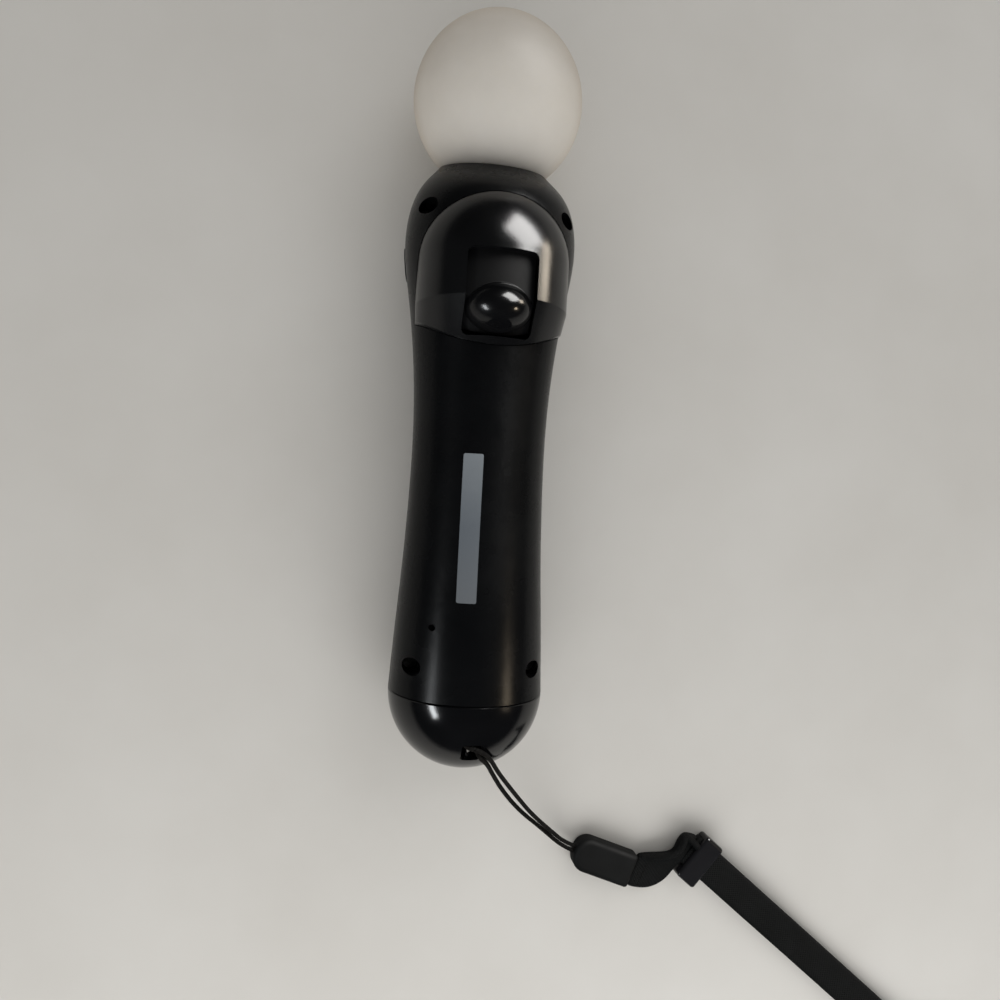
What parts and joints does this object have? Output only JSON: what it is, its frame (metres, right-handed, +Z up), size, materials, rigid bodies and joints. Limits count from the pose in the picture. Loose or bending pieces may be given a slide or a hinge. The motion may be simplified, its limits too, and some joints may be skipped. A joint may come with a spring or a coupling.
{
  "type": "motion controller wand",
  "caption": "Black wand-shaped motion controller with a pale light globe, a raised trigger dome, a rounded base cap and a wrist strap on a thin double cord",
  "frame": {"origin": "on the floor, midway along the wand and under its axis; the wand lies on its button side", "axes": "+Y along the wand from the base cap to the light globe, +Z up through the trigger dome, +X to the side the strap lies on"},
  "size_m": [0.1935, 0.3127, 0.051],
  "materials": {
    "globe": "translucent satin",
    "case": "satin",
    "bezel": "fine satin",
    "trigger": "semi-gloss",
    "cap": "semi-gloss",
    "buttons": "semi-gloss",
    "steel": "bright",
    "weight": "bare",
    "motor": "bright",
    "contacts": "plated",
    "board": "solder mask",
    "switch": "moulded",
    "lens": "clear",
    "mat": "matt",
    "frame": "moulded",
    "battery": "wrapped film",
    "wire": "insulated",
    "label": "printed film, blank",
    "cord": "braided",
    "sleeve": "matt",
    "webbing": "woven",
    "slider": "gloss"
  },
  "bodies": {
    "housing": {"light_globe": "globe", "rear_shell": "case", "front_shell": "case", "trigger_bezel": "bezel", "base_cap": "cap", "strap_bar": "steel", "trigger_pin": "steel", "trigger_spring": "steel", "case_screws": "steel", "usb_socket": "steel", "vibration_motor": "motor", "charging_contacts": "contacts", "main_board": "board", "port_board": "board", "trigger_sensor_board": "board", "led_board": "board", "reset_switch": "switch", "extension_socket": "switch", "led_lens": "lens", "status_lens": "lens", "button_mat": "mat", "motor_cradle": "mat", "sensor_bracket": "frame", "battery_tray": "frame", "battery": "battery", "battery_lead": "wire", "label_strip": "label", "strap_cord_upper": "cord", "strap_cord_lower": "cord", "strap_sleeve": "sleeve", "strap_webbing": "webbing", "wrist_loop": "webbing"},
    "trigger": {"trigger": "trigger"},
    "centre_button": {"centre_button": "buttons"},
    "home_button": {"home_button": "buttons"},
    "upper_left_button": {"upper_left_button": "buttons"},
    "upper_right_button": {"upper_right_button": "buttons"},
    "lower_left_button": {"lower_left_button": "buttons"},
    "lower_right_button": {"lower_right_button": "buttons"},
    "left_side_button": {"left_side_button": "buttons"},
    "right_side_button": {"right_side_button": "buttons"},
    "reset_button": {"reset_button": "frame"},
    "motor_weight": {"motor_weight": "weight"},
    "strap_slider": {"strap_slider": "slider"}
  },
  "joints": [
    {"name": "trigger_pull", "type": "hinge", "parent": "housing", "child": "trigger", "pos_m": [0, 0.0375, 0.0375], "axis": [1, 0, 0], "range_deg": [0, 12], "stiffness_Nm_per_rad": 0.12, "springref_deg": -6.88, "deforming": ["trigger_spring"]},
    {"name": "centre_button_press", "type": "slide", "parent": "housing", "child": "centre_button", "axis": [0, 0, 1], "range_m": [0, 0.0008], "stiffness_N_per_m": 600, "springref_m": -0.0006},
    {"name": "home_button_press", "type": "slide", "parent": "housing", "child": "home_button", "axis": [0, 0, 1], "range_m": [0, 0.0008], "stiffness_N_per_m": 600, "springref_m": -0.0006},
    {"name": "upper_left_button_press", "type": "slide", "parent": "housing", "child": "upper_left_button", "axis": [0, 0, 1], "range_m": [0, 0.0008], "stiffness_N_per_m": 600, "springref_m": -0.0006},
    {"name": "upper_right_button_press", "type": "slide", "parent": "housing", "child": "upper_right_button", "axis": [0, 0, 1], "range_m": [0, 0.0008], "stiffness_N_per_m": 600, "springref_m": -0.0006},
    {"name": "lower_left_button_press", "type": "slide", "parent": "housing", "child": "lower_left_button", "axis": [0, 0, 1], "range_m": [0, 0.0008], "stiffness_N_per_m": 600, "springref_m": -0.0006},
    {"name": "lower_right_button_press", "type": "slide", "parent": "housing", "child": "lower_right_button", "axis": [0, 0, 1], "range_m": [0, 0.0008], "stiffness_N_per_m": 600, "springref_m": -0.0006},
    {"name": "left_side_button_press", "type": "slide", "parent": "housing", "child": "left_side_button", "axis": [1, 0, 0], "range_m": [0, 0.0007], "stiffness_N_per_m": 600, "springref_m": -0.0006},
    {"name": "right_side_button_press", "type": "slide", "parent": "housing", "child": "right_side_button", "axis": [-1, 0, 0], "range_m": [0, 0.0007], "stiffness_N_per_m": 600, "springref_m": -0.0006},
    {"name": "reset_button_press", "type": "slide", "parent": "housing", "child": "reset_button", "axis": [0, 0, -1], "range_m": [0, 0.0006], "stiffness_N_per_m": 600, "springref_m": -0.0006},
    {"name": "motor_weight_spin", "type": "hinge", "parent": "housing", "child": "motor_weight", "pos_m": [0, -0.06, 0.0218], "axis": [0, 1, 0], "continuous": true},
    {"name": "strap_slider_slide", "type": "slide", "parent": "housing", "child": "strap_slider", "axis": [0.7705, -0.6374, 0], "range_m": [0, 0.016]}
  ]
}
